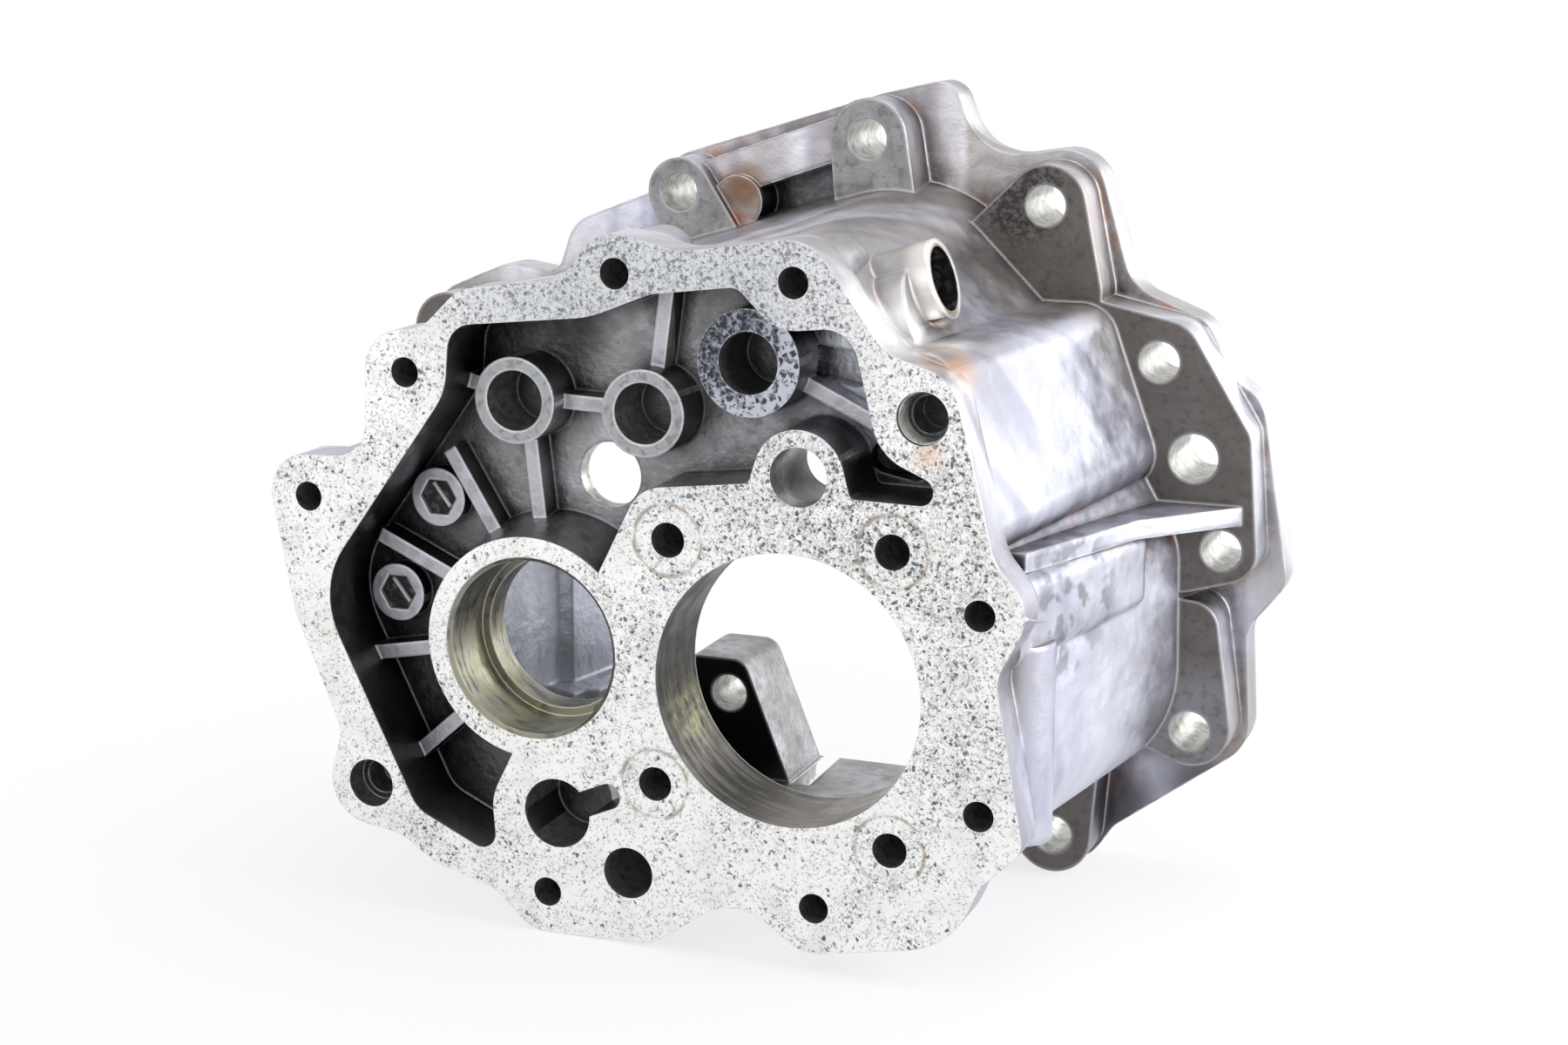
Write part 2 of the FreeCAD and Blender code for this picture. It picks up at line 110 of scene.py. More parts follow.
# The inner wall behind the layshaft bearing, as (x of its face, y, z of its top).
INNER_WALL_MM = (
    (-101, 26, 40), (-97, 60, 34), (-95.7, 65, 33), (-92, 66.5, 32), (-87, 90, 20), (-81, 112, 13),
)
INNER_WALL_FOOT_MM = -58
INNER_WALL_THICKNESS_MM = 5
# The ledge on it, as the (x from the wall's face, z) of its corners.
LEDGE_MM = ((-1, -25), (8, -27), (8, -57), (-1, -57))

# What closes the windows in the pocket's floor from behind, from low corner to high corner.
UPPER_SKIN_MM = ((-6, 26.2, 71), (18, 27.6, 91))
LOWER_CUP_MM = ((4, 25.5, 40), (31, 44, 61))
CUP_WALL_MM = 2
CUP_LAP_MM = 1

# The plain bar on each date stamp.
BAR_TURN = math.radians(-52)
BAR_OFFSET_MM = 1.2
BAR_LENGTH_MM = 8.0
BAR_WIDTH_MM = 0.8
BAR_DEPTHS_MM = (16.6, 17.4)

# The thread in the mouth of the upper stepped hole: radii, and lengths along the hole.
THREAD_TURNS = 6
THREAD_START_MM = 1.4
THREAD_PITCH_MM = 1.6
THREAD_ROOT_MM = 6.72
THREAD_CREST_MM = 6.15
THREAD_FLANK_MM = 0.5

# The sliver of flash on the right lobe of the rim.
FLASH_FOOT_MM = ((61, 1, 23.2), (61, 4, 24.2), (61, 1, 25.4))
FLASH_TIP_MM = (67.5, 1.8, 24.6)

CAMERA_PLACE = (0.22738, -0.58085, 0.18702)
CAMERA_AZIMUTH = math.radians(21.41)
CAMERA_ELEVATION = math.radians(12.91)
CAMERA_LENS_MM = 59.06
SENSOR_WIDTH_MM = 36.0
FLOOR_SIZE = 8.0
# How bright the white surround is as a lamp, and the floor near the casting to the eye.
SURROUND_LEVEL = 0.55
FLOOR_SHARE = 0.78


# Patterns -----------------------------------------------------------------------------

def srgb(code):
    """A colour such as "#c8c9cb" as linear red, green, blue and alpha."""
    channels = [int(code[i:i + 2], 16) / 255 for i in (1, 3, 5)]
    linear = [c / 12.92 if c <= 0.04045 else ((c + 0.055) / 1.055) ** 2.4 for c in channels]
    return (*linear, 1.0)


def per_mm(size_mm):
    """The scale that makes a pattern repeat about every size_mm on a model in metres."""
    return 1 / (size_mm * MM)


def add(tree, kind, inputs=None, **settings):
    """A shader node with its settings, and its inputs given as values or as sockets to link."""
    made = tree.nodes.new("ShaderNode" + kind)
    for name, value in settings.items():
        setattr(made, name, value)
    for socket, value in (inputs or {}).items():
        if isinstance(value, bpy.types.NodeSocket):
            tree.links.new(value, made.inputs[socket])
        else:
            made.inputs[socket].default_value = value
    return made


def combined(tree, operation, masks):
    """Masks joined in turn: MULTIPLY holds where all of them do, MAXIMUM where any does."""
    result = masks[0]
    for mask in masks[1:]:
        result = add(tree, "Math", {0: result, 1: mask}, operation=operation).outputs[0]
    return result


def patches(tree, place, size_mm, low, high, detail=4.0, rough=0.6, out=(0.0, 1.0)):
    """Cloudy patches about size_mm across: out[0] where the noise is low, out[1] where high."""
    cloud = add(tree, "TexNoise", {
        "Vector": place, "Scale": per_mm(size_mm), "Detail": detail, "Roughness": rough,
    })
    return add(tree, "MapRange", {
        "Value": cloud.outputs["Fac"], "From Min": low, "From Max": high,
        "To Min": out[0], "To Max": out[1],
    }, interpolation_type="SMOOTHSTEP").outputs["Result"]


def streaks(tree, place, across_mm, along_mm, low, high):
    """Patches that are thin across the corner of the body and drawn out up and along it."""
    turned = add(tree, "Mapping", {"Vector": place, "Rotation": (0, 0, STREAK_TURN)})
    drawn = across_mm / along_mm
    stretched = add(tree, "Mapping", {
        "Vector": turned.outputs["Vector"], "Scale": (1.0, drawn, drawn),
    }).outputs["Vector"]
    return patches(tree, stretched, across_mm, low, high, detail=2.0)


def hidden(tree, reach_mm, low, high):
    """How deep in a corner or crease a place lies: 1 in the deepest, 0 in the open."""
    open_share = add(tree, "AmbientOcclusion", {"Distance": reach_mm * MM}, samples=8)
    return add(tree, "MapRange", {
        "Value": open_share.outputs["AO"], "From Min": high, "From Max": low,
    }, interpolation_type="SMOOTHSTEP").outputs["Result"]


def distance_from(tree, place, centre_mm):
    """How far a place is from a centre, given as (x, y, z)."""
    centre = tuple(c * MM for c in centre_mm)
    return add(tree, "VectorMath", {0: place, 1: centre}, operation="DISTANCE").outputs["Value"]


def round_spot(tree, place, centre_mm, inner_mm, outer_mm, out=(0.0, 1.0)):
    """out[1] within inner_mm of a centre, turning to out[0] at outer_mm."""
    return add(tree, "MapRange", {
        "Value": distance_from(tree, place, centre_mm),
        "From Min": outer_mm * MM, "From Max": inner_mm * MM, "To Min": out[0], "To Max": out[1],
    }, interpolation_type="SMOOTHSTEP").outputs["Result"]


def round_spots(tree, place, *spots):
    """The strongest of some round spots, each a centre, an inner and an outer radius."""
    return combined(tree, "MAXIMUM", [round_spot(tree, place, *spot) for spot in spots])


def ring_spot(tree, place, centre_mm, radius_mm, width_mm):
    """1 at radius_mm from a centre, falling to 0 at width_mm inside and outside of it."""
    away = distance_from(tree, place, centre_mm)
    off = add(tree, "Math", {0: away, 1: radius_mm * MM}, operation="SUBTRACT").outputs[0]
    off = add(tree, "Math", {0: off}, operation="ABSOLUTE").outputs[0]
    return add(tree, "MapRange", {
        "Value": off, "From Min": width_mm * MM, "From Max": 0.0,
    }, interpolation_type="SMOOTHSTEP").outputs["Result"]


def worn_edges(tree, radius_mm):
    """1 along sharp edges, where handling has polished them, and 0 away from them."""
    rounded = add(tree, "Bevel", {"Radius": radius_mm * MM}, samples=4).outputs["Normal"]
    flat = add(tree, "NewGeometry").outputs["True Normal"]
    likeness = add(tree, "VectorMath", {0: rounded, 1: flat}, operation="DOT_PRODUCT")
    # Cosines of about 6 and 31 degrees between the rounded normal and the flat one.
    return add(tree, "MapRange", {
        "Value": likeness.outputs["Value"], "From Min": 0.995, "From Max": 0.86,
    }).outputs["Result"]


def specks(tree, place, size_mm, crowd, sparse, dense):
    """Separate grains about size_mm apart, from sparse where crowd is 0 to dense where it is 1.

    Each grain's chance is random; one whose chance and density add up to about 1 is drawn."""
    grains = add(tree, "TexVoronoi", {"Vector": place, "Scale": per_mm(size_mm)})
    density = add(tree, "MapRange", {
        "Value": crowd, "To Min": sparse, "To Max": dense,
    }).outputs["Result"]
    chance = add(tree, "Math", {0: grains.outputs["Color"], 1: density}, operation="ADD")
    chosen = add(tree, "MapRange", {
        "Value": chance.outputs[0], "From Min": 0.96, "From Max": 1.08,
    }).outputs["Result"]
    core = add(tree, "MapRange", {
        "Value": grains.outputs["Distance"], "From Min": 0.66, "From Max": 0.34,
    }).outputs["Result"]
    return combined(tree, "MULTIPLY", [chosen, core])


def unsettled(tree, place, size_mm):
    """The same place, shifted a little to and fro so that round grains turn irregular."""
    cloud = add(tree, "TexNoise", {"Vector": place, "Scale": per_mm(size_mm), "Detail": 3.0})
    return add(tree, "VectorMath", {
        0: cloud.outputs["Color"], 1: (2 * size_mm * MM,) * 3, 2: place,
    }, operation="MULTIPLY_ADD").outputs["Vector"]


def layered(tree, base, layers):
    """A colour with layers laid over it in turn, each a mask, its strength and its colour."""
    colour = srgb(base)
    for mask, strength, over in layers:
        share = combined(tree, "MULTIPLY", [mask, strength])
        # Inputs 6 and 7 of a Mix node are its two colours, and output 2 is their mix.
        colour = add(tree, "Mix", {0: share, 6: colour, 7: srgb(over)}, data_type="RGBA").outputs[2]
    return colour


def relief(tree, heights, radius_mm):
    """A normal with the edges rounded and (height mask, depth in mm) layers raised on it."""
    normal = add(tree, "Bevel", {"Radius": radius_mm * MM}, samples=4).outputs["Normal"]
    for mask, depth_mm in heights:
        normal = add(tree, "Bump", {
            "Height": mask, "Distance": abs(depth_mm) * MM, "Normal": normal,
        }, invert=depth_mm < 0).outputs["Normal"]
    return normal


# Materials: each gives the colour, roughness, normal and metallic of one finish ---------

def milled_face(tree, place):
    """Milled aluminium that the gasket and years of oil have pitted: pale, with dark pits.

    The pits are up to a millimetre across, crowded at the top and round the bearing bores."""
    cloudy = patches(tree, place, 20.0, 0.4, 0.62, detail=2.0, out=(0.0, 0.75))
    crowded = round_spots(
        tree, place,
        ((6, 0, 50), 14, 46),  # above the main bore
        ((-30, 0, 112), 30, 90, (0.0, 0.9)),  # along the top
        ((56, 0, 62), 10, 46),  # the upper right lobe
        ((46, 0, -8), 4, 34, (0.0, 0.8)),  # right of the main bore
        ((44, 0, 32), 6, 24),  # on both sides of the upper right spot face
        ((28, 0, 44), 4, 12),
    )
    # Fewer pits and less dusting towards the lower left and the far left, so the face is paler
    # there.
    sparse_low = round_spot(tree, place, (-45, 0, -66), 20, 56, out=(1.0, 0.2))
    sparse_left = round_spot(tree, place, (-140, 0, 0), 15, 60, out=(1.0, 0.2))
    crowd = combined(tree, "MULTIPLY", [
        combined(tree, "MAXIMUM", [cloudy, crowded]),
        combined(tree, "MINIMUM", [sparse_low, sparse_left]),
    ])
    ragged = unsettled(tree, place, 1.2)
    pits = specks(tree, ragged, 1.0, crowd, 0.16, 0.44)
    dots = specks(tree, ragged, 0.6, crowd, 0.34, 0.62)
    dust_share = add(tree, "MapRange", {"Value": crowd, "To Min": 0.1, "To Max": 0.6})
    dusting = combined(tree, "MULTIPLY", [
        patches(tree, place, 3.4, 0.46, 0.66, detail=8.0, rough=0.8), dust_share.outputs["Result"],
    ])
    by_top = round_spot(tree, place, (-40, 0, 120), 30, 95)
    pit_strength = add(tree, "MapRange", {"Value": by_top, "To Min": 0.85, "To Max": 0.5})
    seat_rims = combined(tree, "MAXIMUM", [
        ring_spot(tree, place, (x, 0, z), SPOT_FACE_RADIUS_MM, 0.9) for x, z in SPOT_FACES_MM
    ])
    outlines = combined(tree, "MULTIPLY", [patches(tree, place, 9.0, 0.4, 0.55), seat_rims])
    colour = layered(tree, "#f4f4f2", [
        (patches(tree, place, 14.0, 0.45, 0.7), 0.35, "#d2cfc8"),
        (by_top, 0.75, "#b9bcc1"),
        (dusting, 0.75, "#a3a6ab"),
        (dots, 0.7, "#85878b"),
        (pits, pit_strength.outputs["Result"], "#3f4147"),
        (round_spot(tree, place, (37, 0, 64), 0.5, 5.5), 0.5, "#d7a480"),
        (outlines, 0.75, "#8d7350"),
        (worn_edges(tree, 0.5), 0.5, "#f8f8f8"),
    ])
    roughness = add(tree, "MapRange", {"Value": pits, "To Min": 0.42, "To Max": 0.85})
    metallic = add(tree, "MapRange", {"Value": pits, "To Min": 0.7, "To Max": 0.1})
    normal = relief(tree, [(pits, -0.15)], 0.35)
    return colour, roughness.outputs["Result"], normal, metallic.outputs["Result"]


def cast_skin(tree, place):
    """Die-cast aluminium as it left the mould: satin, faintly grained, with oil stains and painted
    shade in its creases.
    """
    cool = patches(tree, place, 52.0, 0.4, 0.62, detail=1.0)
    warm = patches(tree, place, 34.0, 0.46, 0.66, detail=1.0)
    # Streaks along the draft, partly real and partly painted sheen: pale bands, and darker bands of
    # painted reflection.
    pale = streaks(tree, place, 16.0, 150.0, 0.46, 0.62)
    dull = streaks(tree, place, 9.0, 110.0, 0.52, 0.66)
    creased = hidden(tree, 12.0, 0.35, 0.85)
    stained = combined(tree, "MULTIPLY", [creased, patches(tree, place, 7.0, 0.36, 0.6)])
    rusty = combined(tree, "MULTIPLY", [creased, patches(tree, place, 12.0, 0.52, 0.62)])
    # Painted light: the bulges on the right of the body are painted paler.
    lit_bulges = round_spots(tree, place, ((74, 50, 34), 30, 62), ((74, 40, -24), 24, 56))
    upper = round_spot(tree, place, (10, 90, 130), 26, 74)
    glare = round_spots(tree, place, ((25, 8, 97), 7, 18), ((33, 22, 93), 4, 12))
    under_port = combined(tree, "MULTIPLY", [
        round_spot(tree, place, (39, 12, 86), 4, 13),
        patches(tree, place, 6.0, 0.34, 0.54, detail=2.0),
    ])
    by_lug = round_spot(tree, place, (-49, 92, 117), 3, 10)
    pad = combined(tree, "MULTIPLY", [
        round_spot(tree, place, (60, 36, 21), 14, 27),
        patches(tree, place, 8.0, 0.46, 0.58, detail=2.0),
    ])
    port_face = ring_spot(tree, place, PORT_MM, 10.0, 3.2)
    port_mouth = ring_spot(tree, place, PORT_MM, 8.6, 1.0)
    port_rust = round_spot(tree, place, (34, 35, 95), 2, 8)
    # Painted shade on the lower right of the far flange, below its seats.
    shade_under_flange = round_spots(tree, place, ((60, 100, -56), 6, 20), ((84, 98, -47), 5, 18))
    colour = layered(tree, "#adacaf", [
        (cool, 0.55, "#b9bcd2"),
        (warm, 0.4, "#a1968c"),
        (lit_bulges, 0.75, "#d2d5e6"),
        (upper, 0.55, "#968d82"),
        (pale, 0.45, "#e6e7f0"),
        (dull, 0.4, "#83849a"),
        # Painted shade: grey, darkest deep in the creases.
        (creased, 0.6, "#5c5654"),
        (stained, 0.75, "#4a3b31"),
        (rusty, 0.6, "#a8693c"),
        (pad, 0.6, "#6f6d74"),
        (glare, 0.85, "#ffffff"),
        (under_port, 0.6, "#c2976b"),
        (by_lug, 0.85, "#6f4e30"),
        (port_face, 0.85, "#eceae4"),
        (port_rust, 0.8, "#6a5031"),
        (port_mouth, 0.7, "#7a5c3a"),
        (shade_under_flange, 0.85, "#37353a"),
        (worn_edges(tree, 0.9), 0.65, "#ececf0"),
    ])
    roughness = patches(tree, place, 9.0, 0.3, 0.7, out=(0.3, 0.46))
    waves = patches(tree, place, 14.0, 0.2, 0.8, detail=2.0)
    # The mould's grain is finer than this; it is drawn as coarse as it needs to show.
    grain = patches(tree, place, 0.9, 0.2, 0.8)
    return colour, roughness, relief(tree, [(waves, 0.3), (grain, 0.03)], 2.0), 0.9


def oily_shaded_pocket(tree, place):
    """The same casting inside, under a film of old gear oil: grey, with painted shade that turns
    near black in deep places, in corners and on the left.
    """
    deep = hidden(tree, 30.0, 0.12, 0.62)
    corner = hidden(tree, 8.0, 0.3, 0.75)
    wiped = patches(tree, place, 18.0, 0.42, 0.62)
    dirty = patches(tree, place, 9.0, 0.48, 0.64)
    # Painted light on the pocket's floor around the upper window.
    window_light = round_spot(tree, place, (10, 24, 77), 8, 22)
    # Painted shade: near black under the left wall, in the left corners and above the first rail
    # bosses.
    shade_left = round_spots(
        tree, place,
        ((-132, 22, 20), 20, 52),  # under the left wall
        ((-104, 22, 76), 10, 34),  # the upper left corner
        ((-118, 22, -30), 14, 44),  # the lower left corner
        ((-84, 21, 90), 6, 20),  # above the first rail boss
        ((-70, 24, 87), 6, 18),
    )
    colour = layered(tree, "#8b8a8c", [
        (wiped, 0.65, "#bfc0c6"),
        (dirty, 0.55, "#57504a"),
        # Painted shade, dark in deep places.
        (deep, 0.85, "#242428"),
        (window_light, 0.75, "#d4d6e0"),
        (shade_left, 0.8, "#141316"),
        # Painted shade, near black in tight corners.
        (corner, 0.8, "#0c0c0e"),
        (worn_edges(tree, 0.8), 0.6, "#d4d5d8"),
    ])
    roughness = patches(tree, place, 5.0, 0.3, 0.7, out=(0.26, 0.46))
    normal = relief(tree, [(patches(tree, place, 2.4, 0.2, 0.8), 0.12)], 1.2)
    return colour, roughness, normal, 0.85


def rubbed_rib(tree, place):
    """Crests of the ribs and rims of the date stamps, wiped clean: pale lavender grey."""
    colour = layered(tree, "#b3afb7", [
        (patches(tree, place, 6.0, 0.45, 0.62), 0.6, "#8a858c"),
        (worn_edges(tree, 1.4), 0.9, "#eeecf2"),
    ])
    return colour, 0.4, relief(tree, [(patches(tree, place, 1.6, 0.2, 0.8), 0.06)], 1.0), 0.75


def shaded_recess_floor(tree, place):
    """Floors of the date stamps and the bore of the port, painted near black as shade in these
    recesses.
    """
    # Painted shade: near black, with paler grains.
    colour = layered(tree, "#151416", [
        (patches(tree, place, 2.4, 0.5, 0.62), 0.7, "#5b5658"),
    ])
    return colour, 0.5, relief(tree, [(patches(tree, place, 1.6, 0.2, 0.8), 0.1)], 0.4), 0.4


def inner_skin(tree, place):
    """The inner wall behind the layshaft bore: bluish cast metal, streaked down its height, painted
    pale as painted light from the open back.
    """
    upright = add(tree, "Mapping", {"Vector": place, "Scale": (1.0, 0.6, 0.25)}).outputs["Vector"]
    # Painted light, palest at the far end by the open back.
    lit_far_end = round_spot(tree, place, (-86, 92, 6), 22, 32)
    # Painted shade: a slot in the wall painted black.
    shaded_slot = round_spot(tree, place, (-83, 77, -34.5), 2.5, 5)
    colour = layered(tree, "#e0e4ef", [
        (patches(tree, upright, 12.0, 0.42, 0.6), 0.45, "#9ea1ab"),
        (patches(tree, upright, 7.0, 0.52, 0.66), 0.5, "#66676d"),
        (lit_far_end, 0.8, "#e3e8f8"),
        (shaded_slot, 0.95, "#0d0d10"),
        (worn_edges(tree, 1.0), 0.8, "#f2f4fa"),
    ])
    return colour, 0.4, relief(tree, [(patches(tree, place, 5.0, 0.2, 0.8), 0.2)], 1.4), 0.45


def bored_wall(tree, place):
    """Bored aluminium that held a bearing: turning marks, dark in places and yellowish in others;
    the main bore is painted near black, with painted shade at its upper left and painted light low
    down.

    The turning marks are finer than this; they are drawn as coarse as they need to show."""
    turned = add(tree, "Mapping", {"Vector": place, "Scale": (0.16, 1.0, 0.16)}).outputs["Vector"]
    main = round_spot(tree, place, (0, 10, 0), 40, 44)
    # Painted shade at the upper left of the main bore, and painted light low down in it.
    main_bore_shade = round_spot(tree, place, (-36, 18, 16), 10, 30)
    main_bore_light = round_spot(tree, place, (12, 10, -36), 8, 30)
    yellow = combined(tree, "MULTIPLY", [
        round_spots(
            tree, place, ((-85, 12, -14), 10, 34, (0.0, 0.6)), ((-33, 16, -12), 3, 16, (0.0, 0.6)),
        ),
        patches(tree, place, 4.0, 0.38, 0.6),
    ])
    colour = layered(tree, "#939288", [
        (main, 0.97, "#2a2724"),
        (patches(tree, turned, 2.6, 0.46, 0.6), 0.35, "#8f8c84"),
        (patches(tree, turned, 1.5, 0.5, 0.6), 0.65, "#2f2b28"),
        (yellow, 0.6, "#a8a374"),
        (combined(tree, "MULTIPLY", [main, main_bore_shade]), 0.85, "#1a1817"),
        (combined(tree, "MULTIPLY", [main, main_bore_light]), 0.5, "#9a9086"),
        (worn_edges(tree, 0.8), 0.9, "#ecece8"),
    ])
    roughness = patches(tree, place, 6.0, 0.3, 0.7, out=(0.28, 0.42))
    normal = relief(tree, [(patches(tree, turned, 1.2, 0.3, 0.7), 0.02)], 0.4)
    return colour, roughness, normal, 0.9


def spot_faced_seat(tree, place):
    """Cast bolt seats under a thin brown film, rubbed bright along their edges."""
    film = patches(tree, place, 11.0, 0.4, 0.66)
    upper_left = round_spot(tree, place, (-45, 90, 125), 40, 75)
    right_seat = round_spot(tree, place, (86, 90, -29), 12, 26)
    # Painted shade: the seat of the inner lug painted black.
    inner_lug_shade = round_spot(tree, place, (-53, 90, -31), 22, 34)
    rusted = combined(tree, "MULTIPLY", [
        round_spot(tree, place, (33, 90, 118), 8, 17),
        patches(tree, place, 2.2, 0.42, 0.56, detail=6.0, rough=0.75),
    ])
    colour = layered(tree, "#625c59", [
        (upper_left, 0.7, "#a5a4a7"),
        (right_seat, 0.6, "#92929a"),
        (film, 0.5, "#7b7673"),
        (patches(tree, place, 3.0, 0.5, 0.64), 0.35, "#423f3d"),
        (rusted, 0.8, "#1d1d21"),
        (inner_lug_shade, 1.0, "#0a0a0b"),
        (worn_edges(tree, 1.4), 0.65, "#dcdde2"),
    ])
    roughness = add(tree, "MapRange", {"Value": film, "To Min": 0.42, "To Max": 0.6})
    normal = relief(tree, [(patches(tree, place, 1.2, 0.2, 0.8), 0.05)], 0.9)
    return colour, roughness.outputs["Result"], normal, 0.6


def boss_face(tree, place):
    """Turned faces of the rail bosses: dulled rings with bright edges."""
    colour = layered(tree, "#9c9ea1", [
        (patches(tree, place, 2.2, 0.46, 0.62, detail=6.0), 0.6, "#67696c"),
        (worn_edges(tree, 1.3), 0.95, "#f0f0f0"),
    ])
    return colour, 0.36, relief(tree, [(patches(tree, place, 1.0, 0.2, 0.8), 0.03)], 0.9), 0.8


def corroded_boss(tree, place):
    """The detent boss's face, mottled blue-black where its cover let water in."""
    upper = round_spot(tree, place, (-22, 6, 92), 9, 24)
    ragged = unsettled(tree, place, 1.4)
    mottle = combined(tree, "MAXIMUM", [
        specks(tree, ragged, 1.6, upper, 0.35, 0.85),
        specks(tree, ragged, 0.9, upper, 0.3, 0.7),
    ])
    colour = layered(tree, "#b4b8c0", [
        (upper, 0.6, "#5d6370"),
        (mottle, 0.9, "#161a24"),
        (worn_edges(tree, 0.8), 0.6, "#e6e8ec"),
    ])
    roughness = add(tree, "MapRange", {"Value": mottle, "To Min": 0.4, "To Max": 0.8})
    metallic = add(tree, "MapRange", {"Value": mottle, "To Min": 0.8, "To Max": 0.2})
    normal = relief(tree, [(mottle, -0.1)], 0.5)
    return colour, roughness.outputs["Result"], normal, metallic.outputs["Result"]


def drilled_wall(tree, place):
    """Drilled and reamed holes: bright metal with a thin greenish oil film and a drill's rings."""
    # Painted shade down the walls of the lower window in the pocket's floor and in the detent
    # boss's bore.
    window_wall_shade = round_spot(tree, place, (9, 20, 50), 14, 18)
    detent_bore_shade = round_spot(tree, place, (-12, 22, 82), 12, 17)
    colour = layered(tree, "#c9cac6", [
        (patches(tree, place, 3.0, 0.42, 0.64), 0.6, "#86877a"),
        (patches(tree, place, 2.0, 0.56, 0.66), 0.5, "#4d4a3a"),
        (window_wall_shade, 0.8, "#3f4145"),
        (detent_bore_shade, 0.75, "#191b20"),
    ])
    # A drill's rings are finer than this; they are drawn as coarse as they need to show.
    # A Wave texture's bands repeat every 2 pi / 20 where its scale is 1.
    ring_pitch_mm = 1.32
    rings = add(tree, "TexWave", {
        "Vector": place, "Scale": per_mm(ring_pitch_mm) * math.tau / 20, "Distortion": 0.3,
    }, bands_direction="Y").outputs["Fac"]
    return colour, 0.34, relief(tree, [(rings, 0.03)], 0.4), 0.9


FINISHES = {
    "cast": ("die_cast_aluminium", cast_skin),
    "milled": ("milled_pitted_aluminium", milled_face),
    "pocket": ("oiled_and_shaded_cast_aluminium", oily_shaded_pocket),
    "bored": ("bored_aluminium", bored_wall),
    "seat": ("spot_faced_aluminium", spot_faced_seat),
    "boss": ("turned_aluminium", boss_face),
    "corroded": ("corroded_aluminium", corroded_boss),
    "drilled": ("drilled_aluminium", drilled_wall),
    "inner": ("inner_cast_aluminium", inner_skin),
    "crest": ("rubbed_cast_aluminium", rubbed_rib),
    "stamp": ("shade_blackened_aluminium", shaded_recess_floor),
}


def new_material(name):
    """An empty material, and its node tree."""
    material = bpy.data.materials.new(name)
    material.use_nodes = True
    material.node_tree.nodes.clear()
    return material, material.node_tree


def new_metal(name, paint):
    """A metal whose colour, roughness, normal and metallic come from paint(tree, place)."""
    material, tree = new_material(name)
    place = add(tree, "TexCoord").outputs["Object"]
    colour, roughness, normal, metallic = paint(tree, place)
    shader = add(tree, "BsdfPrincipled", {
        "Base Color": colour, "Roughness": roughness, "Normal": normal, "Metallic": metallic,
    })
    add(tree, "OutputMaterial", {"Surface": shader.outputs["BSDF"]})
    return material


# The finish of each face --------------------------------------------------------------

def radius_from(x_mm, z_mm, place):
    """Distance in mm from a centre, in the plane of the near face."""
    return math.hypot(place.x / MM - x_mm, place.z / MM - z_mm)


def enclosed(tree, face, steps=8, lift_mm=0.3):
    """True if a face looks at other walls all the way round, in its own depth."""
    start = face.calc_center_median() + face.normal * lift_mm * MM
    for step in range(steps):
        turn = math.tau * (step + 0.5) / steps
        if tree.ray_cast(start, Vector((math.cos(turn), 0, math.sin(turn))))[0] is None:
            return False
    return True


def drilled_face(tree, face, lift_mm=0.05):
    """True for a wall that faces itself across a hole of a drill's size, drilled along y."""
    if abs(face.normal.y) > 0.3:
        return False
    start = face.calc_center_median() + face.normal * lift_mm * MM
    hit, normal, _, distance = tree.ray_cast(start, face.normal)
    low, high = (2 * r * MM for r in DRILL_RADII_MM)
    return hit is not None and low * 0.95 < distance < high and normal.dot(face.normal) < -0.97


def in_port_bore(face, place):
    """True for the bore of the port on the body's top, and for what faces in along its line."""
    out = Vector((math.cos(PORT_TILT), 0, math.sin(PORT_TILT)))
    from_port = place - Vector(PORT_MM) * MM
    across = from_port - out * from_port.dot(out)
    turned_in = across.dot(face.normal) < 0
    return turned_in and across.length < PORT_BORE_REACH_MM * MM and from_port.dot(out) < MM


def near_finish(place, depth):
    """The finish of a face that faces the near side, or None if its depth is not a machined one."""
    if depth < NEAR_FACE_MM:
        return "milled"
    if any(abs(depth - boss) < SAME_DEPTH_MM for boss in BOSS_FACES_MM):
        return "corroded" if radius_from(*DETENT_BOSS_MM, place) < DETENT_RADIUS_MM else "boss"
    if abs(depth - SEAT_FACE_MM) < SAME_DEPTH_MM:
        return "seat"
    by_stamp = any(radius_from(x, z, place) < STAMP_RADIUS_MM for x, z in STAMPS_MM)
    if by_stamp and STAMP_FACE_MM + SAME_DEPTH_MM < depth < STAMP_FACE_MM + STAMP_DEPTH_MM:
        return "stamp"
    if by_stamp or abs(depth - RIB_CREST_MM) < SAME_DEPTH_MM:
        return "crest"
    return None


def in_bearing_bore(place, depth):
    """True near the wall of a bearing bore, its shoulder and its chamfer."""
    if depth >= BEARING_WALL_MM:
        return False
    for bore in (MAIN_BORE, LAYSHAFT_BORE):
        x, _, z = bore["pos_m"]
        off = radius_from(x / MM, z / MM, place) - bore["dims"]["r_mm"]
        if -BORE_SHOULDER_MM < off < BORE_CHAMFER_MM:
            return True
    return False


def finish_of(tree, face):
    """The name of the finish that a face of the casting gets, from where it is."""
    place = face.calc_center_median()
    depth = place.y / MM
    finish = near_finish(place, depth) if face.normal.y < -FACING else None
    if finish:
        return finish
    if face.normal.y > FACING and depth > BACK_FACE_MM - SAME_DEPTH_MM:
        return "milled"
    if face.normal.y < FACING and in_bearing_bore(place, depth):
        return "bored"
    if in_port_bore(face, place):
        return "stamp"
    if drilled_face(tree, face):
        return "drilled"
    return "pocket" if enclosed(tree, face) else "cast"


# The casting --------------------------------------------------------------------------

def skin(shape, near, far):
    """The faces between two loops of as many points each."""
    made = []
    for side in range(len(near)):
        after = (side + 1) % len(near)
        made.append(shape.faces.new((near[side], near[after], far[after], far[side])))
    return made


